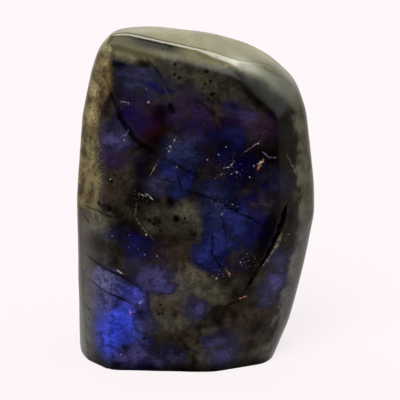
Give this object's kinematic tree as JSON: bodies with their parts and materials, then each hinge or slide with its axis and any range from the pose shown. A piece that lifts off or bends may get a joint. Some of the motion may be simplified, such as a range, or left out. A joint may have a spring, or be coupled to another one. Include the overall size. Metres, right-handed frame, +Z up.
{
  "type": "polished labradorite freeform",
  "caption": "Free-standing slab of dark labradorite, ground to soft flats, polished all over and sawn flat below, with blue flash and an open fissure.",
  "frame": {"origin": "the middle of the stone's footprint, on the sawn base", "axes": "+Z up from the base, the broad flashing front face looks along -Y, +X to its right"},
  "size_m": [0.0839, 0.0421, 0.1155],
  "materials": {
    "labradorite": "polished, dark, with patches of blue and violet flash"
  },
  "bodies": {
    "root": {"stone": "labradorite"}
  },
  "joints": []
}
